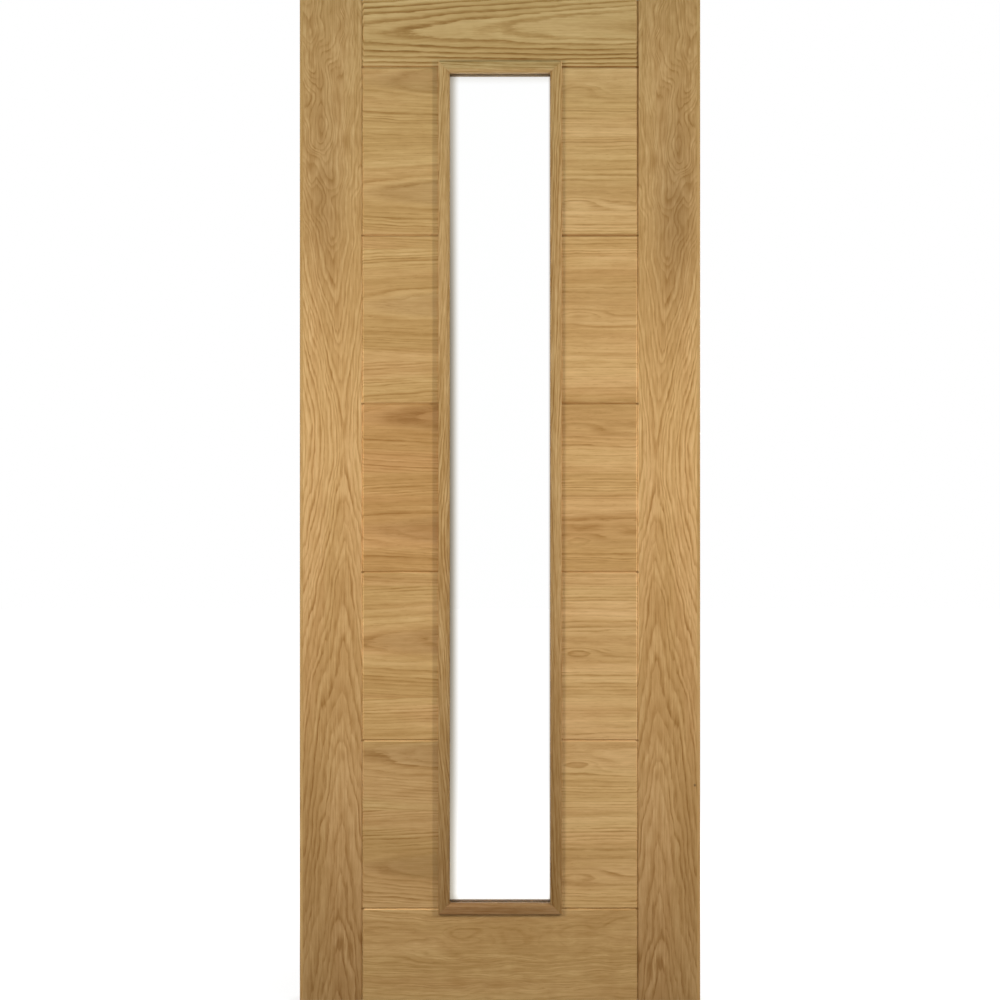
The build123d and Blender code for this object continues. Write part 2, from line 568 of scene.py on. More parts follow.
class OakFigureGroup:
    """The shared growth pattern of an oak board: rings round a heart, fibre streaks and pores."""

    MASKS = ("Rings", "Fibre", "Pores", "Tone", "Warmth", "Knot", "Shade")
    FAR_TAPER = 0.15
    HEART_WIDTH = 0.022
    HEART_BLUSH = 0.6
    SWIRL_LENGTH = 0.30
    WILD_FADING = 0.30
    EASE_LENGTH = 0.40
    FLAME_EDGE = 0.005
    EYE_LENGTH = 0.045
    EYE_WIDTH = 0.011
    EYE_ZONE = 2.8
    KNOT_SIZE = 0.0034
    KNOT_LENGTH = 1.25
    FAINTEST_YEAR = 0.35
    UNEVEN_YEARS = 2.2
    YEAR_TONES = 0.8

    # Noise that bends, breaks and tones the rings
    WAVES = (NoiseLayer(3.0, 14.0, 4.0), NoiseLayer(13.0, 45.0, 1.6))
    RIPPLES = NoiseLayer(26.0, 240.0, 0.5, 3.0, 0.6)
    SWIRLS = NoiseLayer(9.0, 15.0, 8.0, 1.0)
    BREAKS = NoiseLayer(15.0, 100.0, 1.0, 2.0, 0.6)
    QUIET_ZONES = NoiseLayer(1.2, 26.0, 1.0, 1.0)
    FIBRES = (NoiseLayer(12.0, 330.0, 1.0, 3.0, 0.55), NoiseLayer(26.0, 150.0, 0.8, 2.0, 0.6))
    PORES = NoiseLayer(80.0, 1500.0, 1.0, 1.0)
    CLOUDS = NoiseLayer(2.0, 10.0)
    BLOTCHES = (NoiseLayer(11.0, 24.0, 0.7), NoiseLayer(26.0, 70.0, 0.5))
    WARM_ZONES = NoiseLayer(1.6, 13.0, 1.0, 1.0)

    def build(self) -> bpy.types.NodeTree:
        """Builds the group.

        Returns:
            The node group. Its Board input is a place along the grain, across it and under the front face.
        """
        numbers = {socket_name(field.name): GroupGraph.NUMBER for field in fields(OakFigure)}
        masks = dict.fromkeys(self.MASKS, GroupGraph.NUMBER)
        g = GroupGraph("oak_figure", {"Board": GroupGraph.VECTOR, **numbers}, masks)
        given = g.given
        along, across, depth = g.split(given["Board"])

        # The same leaf of veneer again at every leaf width
        from_heart = (across - given["Heart Across"]) * given["Mirror"]
        leaf = g.math("ROUND", from_heart / given["Leaf Width"])
        in_leaf = from_heart - leaf * given["Leaf Width"]
        past = along - given["Crown Along"]
        grain = BoardNoise(g, past, in_leaf, depth, leaf * 7.31 + given["Seed"])

        # Lengths before and after the crown, softened so that the figure turns over in a curve
        turn = given["Turn"]
        length = g.math("SQRT", past * past + turn * turn) - turn
        low = (length - past) * 0.5
        high = (length + past) * 0.5
        beside = in_leaf - low * given["Drift Low"] - high * given["Drift High"]

        # Rings lie round the heart like nested cones, so that a cut along them shows flames
        heart = given["Heart Depth"] + depth
        round_heart = g.math("SQRT", beside * beside + heart * heart)
        reach = given["Reach"]
        climb_low = g.math("TANH", low / reach) * given["Taper Low"]
        climb_high = g.math("TANH", high / reach) * given["Taper High"]
        climb = reach * (climb_low + climb_high)
        near = self.bell(beside / given["Spread"])
        cone = round_heart - climb * (near * (1.0 - self.FAR_TAPER) + self.FAR_TAPER)
        eye_u = (past - given["Eye Along"]) / self.EYE_LENGTH
        eye_v = (in_leaf - given["Eye Across"]) / self.EYE_WIDTH
        from_eye = (eye_u * eye_u + eye_v * eye_v) / (given["Eye Size"] * given["Eye Size"])
        eye = g.math("EXPONENT", 0.0 - from_eye)
        eye_zone = g.math("EXPONENT", from_eye / -(self.EYE_ZONE**2)) * given["Eye Tone"]
        widening = 1.0 - g.math("TANH", low / self.EASE_LENGTH) * given["Ease"]
        rings = cone * widening / given["Ring Pitch"] + eye * given["Eye Rings"]

        # The lines stray from their course, and most where the grain is wild
        wild = g.remap(past - given["Swirl From"], 0.0, self.SWIRL_LENGTH) * given["Swirl"]
        rings = rings + grain.sum(*self.WAVES) * given["Wander"] + grain.sum(self.RIPPLES)
        rings = rings + grain.sum(self.SWIRLS) * wild
        rings = rings + grain.by_ring(rings, 0.4, 3.3) * self.UNEVEN_YEARS

        # Each ring starts with a dark band of pores and pales towards the next
        part = g.math("FRACT", rings)
        band = g.math("MAXIMUM", g.remap(part, 0.0, 0.55, 1.0, 0.0), g.remap(part, 0.84, 1.0))
        chance = g.random(g.math("FLOOR", rings + 0.3), grain.seed)
        year = chance * (1.0 - self.FAINTEST_YEAR) + self.FAINTEST_YEAR
        broken = g.remap(grain.sum(self.BREAKS), -0.16, 0.12, 1.0 - given["Broken"], 1.0)
        quiet = g.remap(grain.sum(self.QUIET_ZONES), -0.10, 0.06, 1.0 - given["Clear"], 1.0)
        calm = 1.0 - g.math("MINIMUM", wild, 1.0) * self.WILD_FADING
        shown = g.math("MAXIMUM", broken * quiet, eye) * calm
        g.give("Rings", band * year * shown)

        # Fibres and pores, and the broad changes of tone and warmth
        g.give("Fibre", grain.sum(*self.FIBRES))
        g.give("Pores", g.remap(grain.sum(self.PORES), 0.07, 0.22) * (band * 0.8 + 0.2))
        seasons = grain.by_ring(rings, 0.7, 8.8) * self.YEAR_TONES
        g.give("Tone", grain.sum(self.CLOUDS) + grain.sum(*self.BLOTCHES) * wild + seasons)
        heart_blush = self.bell(beside / self.HEART_WIDTH) * self.HEART_BLUSH
        g.give("Warmth", heart_blush + g.remap(grain.sum(self.WARM_ZONES), -0.05, 0.12))

        # A pin knot; painted shade along the board, partly its own tone; darker wood in the flame and round
        # the eye
        knot_u = (along - given["Knot Along"]) / self.KNOT_LENGTH
        knot_v = across - given["Knot Across"]
        from_knot = g.math("SQRT", knot_u * knot_u + knot_v * knot_v) / self.KNOT_SIZE
        g.give("Knot", g.remap(from_knot, 0.25, 1.0, 1.0, 0.0))
        flame = g.remap(given["Heart Depth"] - cone, 0.0, self.FLAME_EDGE)
        shade = 1.0 - low * given["Shade Low"] - high * given["Shade High"]
        g.give("Shade", shade * (1.0 - flame * given["Heart Tone"]) * (1.0 - eye_zone))
        return g.tree

    @staticmethod
    def bell(value: Signal) -> Signal:
        """Gives a bell-shaped curve that is 1 at nought and a half at one."""
        return 1.0 / (value * value + 1.0)


class OakSurfaceGroup:
    """The shared look of lacquered oak: turns a board's masks into colour, roughness and height."""

    STRENGTHS = ("Ring Strength", "Fibre Strength", "Blush", "Satin")
    BLUSH_TINT = (0.98, 0.90, 0.92)
    KNOT_BROWN = (0.20, 0.11, 0.045)
    FADING = (0.80, 1.08, 1.60)
    SHADING = (1.0, 1.07, 1.14)
    TONE_REACH = 0.25
    TONE_SWING = 0.12
    PORE_STRENGTH = 0.22
    PORE_ROUGHNESS = 0.2
    FIBRE_ROUGHNESS = 0.12
    FIBRE_RELIEF = 0.4
    RING_RELIEF = 0.25

    def build(self) -> bpy.types.NodeTree:
        """Builds the group.

        Returns:
            The node group, with a colour, a roughness and a height as outputs.
        """
        numbers = dict.fromkeys((*OakFigureGroup.MASKS, *self.STRENGTHS), GroupGraph.NUMBER)
        results = {"Colour": GroupGraph.COLOUR, "Roughness": GroupGraph.NUMBER, "Height": GroupGraph.NUMBER}
        g = GroupGraph("oak_surface", {"Pale": GroupGraph.COLOUR, **numbers}, results)
        given = g.given
        warmth = g.math("MINIMUM", given["Warmth"], 1.0)
        colour = g.mix(warmth * given["Blush"], given["Pale"], self.BLUSH_TINT, "MULTIPLY")
        streaks = given["Fibre"] * given["Fibre Strength"] + 1.0
        dark, bright = 1.0 - self.TONE_SWING, 1.0 + self.TONE_SWING
        drift = g.remap(given["Tone"], -self.TONE_REACH, self.TONE_REACH, dark, bright)
        between_pores = 1.0 - given["Pores"] * self.PORE_STRENGTH
        light = streaks * drift * between_pores * (1.0 - given["Rings"] * given["Ring Strength"])
        # The Shade mask carries painted shade along the board as well as the darker wood of the flame and
        # the eye
        channels = [
            g.math("POWER", light, fading) * g.math("POWER", given["Shade"], shading)
            for fading, shading in zip(self.FADING, self.SHADING)
        ]
        colour = g.mix(1.0, colour, g.vector(*channels), "MULTIPLY")
        g.give("Colour", g.mix(given["Knot"], colour, self.KNOT_BROWN))
        dullness = given["Pores"] * self.PORE_ROUGHNESS + given["Fibre"] * self.FIBRE_ROUGHNESS
        g.give("Roughness", given["Satin"] + dullness)
        sunk = given["Pores"] + given["Rings"] * self.RING_RELIEF
        g.give("Height", given["Fibre"] * self.FIBRE_RELIEF - sunk)
        return g.tree


class FacingEdgesGroup:
    """Tells a facing's sawn ends and its grooves from its face, by the place on the leaf.

    Dirt with painted shade in the grooves, and painted highlights on their walls with the fading of those
    highlights, have a value for the hinge side and one for the lock side. Where they come and
    go is a pair of heights, or of distances from mid-height, in shares of half the leaf's height.
    """

    END = 0.4 * MM
    VENEER = 0.6 * MM
    GROOVE_TOP = 0.1 * MM
    GROOVE_FOOT = 1.2 * MM
    JOINT_REACH = 4.0 * MM
    CROSSING_REACH = 3.5 * MM
    # Dirt with painted shade where the grooves cross, in the rows and in the joints
    CROSSING_DIRT_AND_SHADE = 0.6
    ROW_DIRT_AND_SHADE = (0.18, 0.45)
    ROW_DIRT_AND_SHADE_COMES = (1.1, 1.5)
    # Painted highlights on the up-facing walls of the low row grooves and in the upright joints, with their
    # fading
    ROW_PAINTED_HIGHLIGHT = (1.0, 0.3)
    ROW_PAINTED_HIGHLIGHT_GOES = (0.0, 1.28)
    FACES_UP = (0.3, 0.6)
    JOINT_DIRT_AND_SHADE = (0.0, 0.45)
    JOINT_DIRT_AND_SHADE_COMES = (1.3, 1.8)
    JOINT_PAINTED_HIGHLIGHT = (0.65, 0.75)
    JOINT_HIGHLIGHT_FADING = (0.8, 1.0)
    JOINT_HIGHLIGHT_FADING_COMES = (0.10, 0.75)

    def __init__(self, sizes: LeafSizes) -> None:
        """Keeps the sizes of the leaf."""
        self.sizes = sizes

    def build(self) -> bpy.types.NodeTree:
        """Builds the group.

        Returns:
            The node group, with masks of bare board at the ends, of dirt with painted shade in the grooves,
            and of painted highlights there.
        """
        inputs = {"Place": GroupGraph.VECTOR, "Facing": GroupGraph.VECTOR}
        masks = dict.fromkeys(("Bare Board", "Dirt", "Painted Highlight"), GroupGraph.NUMBER)
        g = GroupGraph("facing_edges", inputs, masks)
        x, y, z = g.split(g.given["Place"])
        _, _, facing_up = g.split(g.given["Facing"])
        half = self.sizes.height / 2
        from_middle = g.math("ABSOLUTE", z - half)
        at_end = g.math("GREATER_THAN", from_middle, half - self.END)
        under_face = g.math("ABSOLUTE", y) * -1.0 - self.sizes.front_face
        g.give("Bare Board", at_end * g.math("GREATER_THAN", under_face, self.VENEER))
        groove = g.remap(under_face, self.GROOVE_TOP, self.GROOVE_FOOT) * (1.0 - at_end)
        lock_side = g.math("GREATER_THAN", x, self.sizes.width / 2)
        joints = (self.sizes.hinge_joint, self.sizes.lock_joint)
        to_joint = g.math("MINIMUM", *(g.math("ABSOLUTE", x - joint) for joint in joints))
        joint = g.math("LESS_THAN", to_joint, self.JOINT_REACH)
        row = groove * (1.0 - joint)
        rows_up = (z - self.sizes.slot_bottom) / self.sizes.row_height
        to_row = g.math("ABSOLUTE", rows_up - g.math("ROUND", rows_up)) * self.sizes.row_height
        crossing = g.remap(to_row, 0.0, self.CROSSING_REACH, 1.0, 0.0)
        height = z / half
        # Dirt and painted shade in the row grooves, coming in above mid-height
        row_dirt_and_shade = self.by_side(lock_side, self.ROW_DIRT_AND_SHADE) * g.remap(height, *self.ROW_DIRT_AND_SHADE_COMES)
        # Painted highlight on the up-facing walls of the low row grooves
        lit = g.remap(height, *self.ROW_PAINTED_HIGHLIGHT_GOES, 1.0, 0.0) * g.remap(facing_up, *self.FACES_UP)
        row_painted_highlight = self.by_side(lock_side, self.ROW_PAINTED_HIGHLIGHT) * lit
        # Dirt and painted shade in the lock-side upright joint near the top
        joint_dirt_and_shade = self.by_side(lock_side, self.JOINT_DIRT_AND_SHADE) * g.remap(height, *self.JOINT_DIRT_AND_SHADE_COMES)
        # Painted highlight in the upright joints, fading towards the top and the foot
        highlight_fading = g.remap(from_middle / half, *self.JOINT_HIGHLIGHT_FADING_COMES)
        highlight_fading = highlight_fading * self.by_side(lock_side, self.JOINT_HIGHLIGHT_FADING)
        joint_painted_highlight = self.by_side(lock_side, self.JOINT_PAINTED_HIGHLIGHT) * (1.0 - highlight_fading)
        # Dirt with painted shade in the joints, at the crossings and in the rows
        g.give("Dirt", groove * joint * (joint_dirt_and_shade + crossing * self.CROSSING_DIRT_AND_SHADE) + row * row_dirt_and_shade)
        # Painted highlights in the joints, away from the crossings, and in the rows
        g.give("Painted Highlight", groove * joint * joint_painted_highlight * (1.0 - crossing) + row * row_painted_highlight)
        return g.tree

    @staticmethod
    def by_side(lock_side: Signal, values: tuple[float, float]) -> Signal:
        """Gives the hinge side's value or the lock side's."""
        return lock_side * (values[1] - values[0]) + values[0]


class CoreStavesGroup:
    """The shared look of a core glued up from softwood staves."""

    STAVE_WIDTH = 0.0285
    STAVE_LENGTH = 0.36
    RING_PITCH = 0.0034
    GLUE_WIDTH = 0.02

    def build(self) -> bpy.types.NodeTree:
        """Builds the group.

        Returns:
            The node group, with masks of the rings, the glue lines and each stave's tone.
        """
        masks = dict.fromkeys(("Rings", "Glue", "Tone"), GroupGraph.NUMBER)
        g = GroupGraph("core_staves", {"Board": GroupGraph.VECTOR}, masks)
        along, across, depth = g.split(g.given["Board"])
        row = across / self.STAVE_WIDTH
        row_number = g.math("FLOOR", row)
        in_row = g.math("FRACT", row)
        run = along / self.STAVE_LENGTH + g.random(row_number, 1.7)
        run_number = g.math("FLOOR", run)
        in_run = g.math("FRACT", run)
        stave = row_number * 3.7 + run_number
        pith_across = (in_row - g.random(stave, 2.1) * 2.0 + 0.5) * self.STAVE_WIDTH
        pith_depth = depth + 0.02 + g.random(stave, 5.3) * 0.03
        wave = g.noise(g.vector(along * 6.0, across * 40.0, depth * 40.0 + stave), 2.0)
        radius = g.math("SQRT", pith_across * pith_across + pith_depth * pith_depth)
        part = g.math("FRACT", radius / self.RING_PITCH + wave * 2.0)
        g.give("Rings", g.remap(part, 0.35, 0.95) * g.remap(part, 0.96, 1.0, 1.0, 0.0))
        side_glue = g.remap(g.math("ABSOLUTE", in_row - 0.5), 0.5 - self.GLUE_WIDTH, 0.5)
        end_glue = g.remap(g.math("ABSOLUTE", in_run - 0.5), 0.498, 0.5)
        g.give("Glue", g.math("MAXIMUM", side_glue, end_glue))
        g.give("Tone", g.random(stave, 9.1))
        return g.tree


@dataclass(frozen=True)
class CoreFinish:
    """Colours of the bare softwood core."""

    pale: Colour = (0.62, 0.44, 0.24)
    ring: Colour = (0.40, 0.23, 0.10)
    glue: Colour = (0.22, 0.13, 0.07)


@dataclass(frozen=True)
class EdgeShade:
    """Soft shade along one edge of the glass.

    Attributes:
        width: how far it reaches into the glass.
        middle: share of the light that is left halfway along the edge.
        ends: share of the light that is left at its ends.
    """

    width: float
    middle: float
    ends: float


@dataclass(frozen=True)
class GlassFinish:
    """Clear glass that is shaded along its edges.

    Attributes:
        tint: colour of the clear part.
        warmth: how much faster green and blue fade than red in the shade.
        ends: where the middle of an edge gives way to its ends, in shares of half its length.
        left: shade along the hinge side.
        right: shade along the lock side.
        top: shade along the top.
        bottom: shade along the bottom.
    """

    tint: Colour = (0.997, 1.0, 0.998)
    warmth: Colour = (0.90, 1.0, 1.19)
    ends: tuple[float, float] = (0.35, 0.95)
    left: EdgeShade = EdgeShade(0.0215, 0.22, 0.36)
    right: EdgeShade = EdgeShade(0.005, 0.60, 0.60)
    top: EdgeShade = EdgeShade(0.022, 0.80, 0.80)
    bottom: EdgeShade = EdgeShade(0.018, 0.80, 0.80)


@dataclass(frozen=True)
class GasketFinish:
    """Brown foamed glazing tape."""

    foam: Colour = (0.40, 0.27, 0.14)
    cells: Colour = (0.30, 0.20, 0.10)


# Bare board at a facing's ends, and factors on the wood's colour in the grooves: dirt with painted shade,
# and a painted highlight
BOARD_BROWN = (0.27, 0.175, 0.10)
BOARD_FLECK = (0.36, 0.25, 0.15)
FLECK_SCALE = 900.0
GROOVE_DIRT_AND_SHADE = (0.45, 0.30, 0.16)
GROOVE_PAINTED_HIGHLIGHT = (1.60, 1.75, 2.00)

# Specular levels, and the strength and depth of fine relief
VENEER_GLOSS = 0.15
SOLID_GLOSS = 0.04
CORE_GLOSS = 0.25
TAPE_GLOSS = 0.2
OAK_RELIEF = (0.18, 0.25 * MM)
CORE_RELIEF = (0.25, 0.2 * MM)
TAPE_RELIEF = (0.4, 0.2 * MM)
TAPE_CELL_SCALE = 1400.0
GLASS_IOR = 1.45


class Finishes:
    """Makes the materials of the leaf, with the node groups that they share."""

    def __init__(self, sizes: LeafSizes) -> None:
        """Builds the shared groups.

        Args:
            sizes: sizes of the leaf.
        """
        self.sizes = sizes
        self.oak_figure = OakFigureGroup().build()
        self.oak_surface = OakSurfaceGroup().build()
        self.facing_edges = FacingEdgesGroup(sizes).build()
        self.core_staves = CoreStavesGroup().build()

    @staticmethod
    def start(name: str) -> tuple[bpy.types.Material, Graph, bpy.types.Node]:
        """Starts a material.

        Args:
            name: its name.

        Returns:
            The material, a graph for its nodes and its shader.
        """
        material = bpy.data.materials.new(name)
        material.use_nodes = True
        return material, Graph(material.node_tree), material.node_tree.nodes["Principled BSDF"]

    @staticmethod
    def bump(g: Graph, shader: bpy.types.Node, height: Signal, strength: float, distance: float) -> None:
        """Gives a shader fine relief.

        Args:
            g: the material's graph.
            shader: the shader.
            height: the relief.
            strength: how much of it shows.
            distance: its depth in metres.
        """
        node = g.add("ShaderNodeBump")
        node.inputs["Strength"].default_value = strength
        node.inputs["Distance"].default_value = distance
        g.feed(node.inputs["Height"], height)
        g.feed(shader.inputs["Normal"], Signal(g, node.outputs["Normal"]))

    def board(self, g: Graph, grain: Grain) -> Signal:
        """Gives the place in a board.

        Args:
            g: the material's graph.
            grain: which way the grain runs.

        Returns:
            The place along the grain, across it and under the front face.
        """
        x, y, z = g.here()
        depth = y - self.sizes.front_face
        if grain is Grain.UPRIGHT:
            return g.vector(z, x, depth)
        return g.vector(x, z, depth)

    def oak(
        self, name: str, grain: Grain, figure: OakFigure, finish: OakFinish, facing: bool = False
    ) -> bpy.types.Material:
        """Makes lacquered oak.

        Args:
            name: the material's name.
            grain: which way the grain runs.
            figure: how the board was cut.
            finish: its colours.
            facing: whether it is a veneered facing, with grooves and with sawn ends that show bare board.

        Returns:
            The material.
        """
        material, g, shader = self.start(name)
        cut = {socket_name(field): value for field, value in asdict(figure).items()}
        masks = g.use(self.oak_figure, {"Board": self.board(g, grain), **cut})
        colours = {socket_name(field): value for field, value in asdict(finish).items()}
        oak = g.use(self.oak_surface, {**masks, **colours})
        colour = oak["Colour"]
        if facing:
            x, y, z = g.here()
            normal = Signal(g, g.add("ShaderNodeNewGeometry").outputs["True Normal"])
            edges = g.use(self.facing_edges, {"Place": g.vector(x, y, z), "Facing": normal})
            flecks = g.noise(g.vector(x * FLECK_SCALE, y * FLECK_SCALE, z * FLECK_SCALE), 2.0)
            board = g.mix(g.remap(flecks, 0.4, 0.7), BOARD_BROWN, BOARD_FLECK)
            # Dirt with painted shade darkens the grooves
            colour = g.mix(edges["Dirt"], colour, GROOVE_DIRT_AND_SHADE, "MULTIPLY")
            # Painted highlight lightens the groove walls
            colour = g.mix(edges["Painted Highlight"], colour, GROOVE_PAINTED_HIGHLIGHT, "MULTIPLY")
            colour = g.mix(edges["Bare Board"], colour, board)
        g.feed(shader.inputs["Base Color"], colour)
        g.feed(shader.inputs["Roughness"], oak["Roughness"])
        shader.inputs["Specular IOR Level"].default_value = VENEER_GLOSS if facing else SOLID_GLOSS
        self.bump(g, shader, oak["Height"], *OAK_RELIEF)
        return material

    def core(self, name: str, grain: Grain, finish: CoreFinish) -> bpy.types.Material:
        """Makes bare laminated softwood.

        Args:
            name: the material's name.
            grain: which way the staves run.
            finish: its colours.

        Returns:
            The material.
        """
        material, g, shader = self.start(name)
        staves = g.use(self.core_staves, {"Board": self.board(g, grain)})
        colour = g.mix(staves["Rings"] * 0.8, finish.pale, finish.ring)
        tone = staves["Tone"] * 0.3 + 0.82
        colour = g.mix(1.0, colour, g.vector(tone, tone, tone), "MULTIPLY")
        g.feed(shader.inputs["Base Color"], g.mix(staves["Glue"] * 0.8, colour, finish.glue))
        g.feed(shader.inputs["Roughness"], 0.8 - staves["Rings"] * 0.12)
        shader.inputs["Specular IOR Level"].default_value = CORE_GLOSS
        self.bump(g, shader, staves["Rings"] - staves["Glue"], *CORE_RELIEF)
        return material

    def glass(self, name: str, finish: GlassFinish) -> bpy.types.Material:
        """Makes clear glass with shaded edges.

        Args:
            name: the material's name.
            finish: its tint and the shade along each edge.

        Returns:
            The material.
        """
        material, g, shader = self.start(name)
        x, _, z = g.here()
        sizes = self.sizes
        half_width = (sizes.sight_right - sizes.sight_left) / 2
        half_height = (sizes.sight_top - sizes.sight_bottom) / 2
        off_x = g.math("ABSOLUTE", x - (sizes.sight_left + half_width)) / half_width
        off_z = g.math("ABSOLUTE", z - (sizes.sight_bottom + half_height)) / half_height
        edges = (
            (x - sizes.sight_left, off_z, finish.left),
            (sizes.sight_right - x, off_z, finish.right),
            (sizes.sight_top - z, off_x, finish.top),
            (z - sizes.sight_bottom, off_x, finish.bottom),
        )
        light = 1.0
        for inwards, along, edge in edges:
            at_edge = g.remap(along, *finish.ends, edge.middle, edge.ends)
            light = light * g.remap(inwards, 0.0, edge.width, at_edge, 1.0)
        fades = zip(finish.warmth, finish.tint)
        channels = [g.math("POWER", light, fade) * clear for fade, clear in fades]
        g.feed(shader.inputs["Base Color"], g.vector(*channels))
        shader.inputs["Roughness"].default_value = 0.0
        shader.inputs["IOR"].default_value = GLASS_IOR
        shader.inputs["Transmission Weight"].default_value = 1.0
        return material

    def gasket(self, name: str, finish: GasketFinish) -> bpy.types.Material:
        """Makes foamed glazing tape.

        Args:
            name: the material's name.
            finish: its colours.

        Returns:
            The material.
        """
        material, g, shader = self.start(name)
        x, y, z = g.here()
        cells = g.noise(g.vector(x * TAPE_CELL_SCALE, y * TAPE_CELL_SCALE, z * TAPE_CELL_SCALE), 2.0)
        pits = g.remap(cells, 0.5, 0.68)
        g.feed(shader.inputs["Base Color"], g.mix(pits, finish.foam, finish.cells))
        g.feed(shader.inputs["Roughness"], pits * 0.1 + 0.8)
        shader.inputs["Specular IOR Level"].default_value = TAPE_GLOSS
        self.bump(g, shader, 1.0 - pits, *TAPE_RELIEF)
        return material


def coat(node: str, material: bpy.types.Material) -> None:
    """Gives a CAD node its material.

    Args:
        node: the node's name.
        material: what it is finished with.
    """
    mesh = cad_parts[node].data
    mesh.materials.clear()
    mesh.materials.append(material)
    log.info("%s is finished with %s", node, material.name)


@dataclass
class Stile:
    """One stile: a lipping, a core and two facings. Its figure mirrors the other stile's about the slot.

    Attributes:
        hand: which stile it is.
        heart_inset: from the joint with the panels to the heart of the figure.
    """

    hand: Hand
    heart_inset: float = 0.035

    def figure(self, sizes: LeafSizes) -> OakFigure:
        """Gives the figure of the facings, the mirror image of the other stile's.

        Args:
            sizes: sizes of the leaf.

        Returns:
            The figure.
        """
        hinge = self.hand is Hand.HINGE
        outward = -1.0 if hinge else 1.0
        joint = sizes.hinge_joint if hinge else sizes.lock_joint
        return OakFigure(
            heart_across=joint + outward * self.heart_inset,
            crown_along=1.14 if hinge else 1.10,
            mirror=outward,
            taper_low=0.27,
            taper_high=0.26,
            turn=0.13,
            reach=1.2,
            spread=0.30,
            drift_low=0.02,
            drift_high=0.085,
            heart_depth=0.006,
            ring_pitch=0.0085,
            ease=0.4,
            wander=0.9,
            swirl=1.6,
            swirl_from=0.25,
            clear=0.3,
            eye_along=0.51,
            eye_across=0.043,
            eye_size=1.7,
            eye_rings=3.0,
            eye_tone=0.18 if hinge else 0.27,
            knot_along=0.437,
            knot_across=-1.0 if hinge else 0.802,
            # Painted shade towards the foot and the top, partly the stile's own tone
            shade_low=0.29,
            shade_high=0.20,
            seed=4.0,
        )

    def dress(self, finishes: Finishes) -> None:
        """Finishes the stile's pieces.

        Args:
            finishes: makes the materials.
        """
        name = f"{self.hand.value}_stile"
        facing = finishes.oak(f"{name}_oak", Grain.UPRIGHT, self.figure(finishes.sizes), STILE_OAK, True)
        for face in Face:
            coat(f"{name}_{face.value}_facing", facing)
        middle = 0.0 if self.hand is Hand.HINGE else finishes.sizes.width
        straight = OakFigure(middle + 0.05, 1.2, ring_pitch=0.006, drift_high=0.01, seed=11.0 + middle)
        lipping = finishes.oak(f"{name}_lipping_oak", Grain.UPRIGHT, straight, LIPPING_OAK)
        coat(f"{name}_lipping", lipping)
        coat(f"{name}_core", finishes.core(f"{name}_core_staves", Grain.UPRIGHT, CoreFinish()))


@dataclass
class Rail:
    """One rail: a core and two facings.

    Attributes:
        level: which rail it is.
        figure: how its facings were cut.
        finish: colours of its facings.
    """

    level: Level
    figure: OakFigure
    finish: OakFinish

    def dress(self, finishes: Finishes) -> None:
        """Finishes the rail's pieces.

        Args:
            finishes: makes the materials.
        """
        name = f"{self.level.value}_rail"
        facing = finishes.oak(f"{name}_oak", Grain.LEVEL, self.figure, self.finish, True)
        for face in Face:
            coat(f"{name}_{face.value}_facing", facing)
        coat(f"{name}_core", finishes.core(f"{name}_core_staves", Grain.LEVEL, CoreFinish()))


@dataclass
class PanelColumn:
    """The boards beside the slot on one side, faced with slip-matched leaves of veneer.

    Attributes:
        hand: which side of the slot they are on.
        finish: colours of their facings.
        tints: tint of each board, from the top.
        leaf_width: width of a leaf of veneer.
        first_heart: height of the lowest leaf's heart.
        heart_tone: share of light lost inside the main flame of each leaf.
    """

    hand: Hand
    finish: OakFinish
    tints: tuple[BoardTint, ...]
    leaf_width: float = 0.228
    first_heart: float = 0.272
    heart_tone: float = 0.0

    def dress(self, finishes: Finishes) -> None:
        """Finishes the boards.

        Args:
            finishes: makes the materials.
        """
        figure = OakFigure(
            heart_across=self.first_heart,
            crown_along=0.07,
            taper_high=0.05,
            reach=0.30,
            heart_depth=0.06,
            ring_pitch=0.0055,
            leaf_width=self.leaf_width,
            wander=0.5,
            clear=0.75,
            heart_tone=self.heart_tone,
            eye_along=0.495,
            eye_across=-0.02,
            eye_rings=1.6,
            seed=5.0,
        )
        name = f"{self.hand.value}_side_panel"
        for row, tint in enumerate(self.tints, 1):
            finish = self.finish.tinted(tint)
            coat(f"{name}_{row}", finishes.oak(f"{name}_{row}_oak", Grain.LEVEL, figure, finish, True))


@dataclass(frozen=True)
class BeadWood:
    """The wood of one bead.

    Attributes:
        finish: its colours.
        grain: which way the grain runs.
        lean: slope of the grain.
        crown_along: where the painted shade starts, along the grain.
        shade_low: share of light lost for each metre before that: painted shade towards the foot, with some
            of the wood's own tone.
    """

    finish: OakFinish
    grain: Grain
    lean: float
    crown_along: float = 0.95
    shade_low: float = 0.0


# The side beads are darker towards the foot by painted shade, partly the wood's own tone
BEAD_WOOD = {
    SlotEdge.HINGE_SIDE: BeadWood(BEAD_OAK, Grain.UPRIGHT, 0.10, shade_low=0.40),
    SlotEdge.TOP: BeadWood(TOP_BEAD_OAK, Grain.LEVEL, 0.03),
    SlotEdge.LOCK_SIDE: BeadWood(BEAD_OAK, Grain.UPRIGHT, 0.05, crown_along=1.10, shade_low=0.30),
    SlotEdge.BOTTOM: BeadWood(FOOT_BEAD_OAK, Grain.LEVEL, -0.05),
}


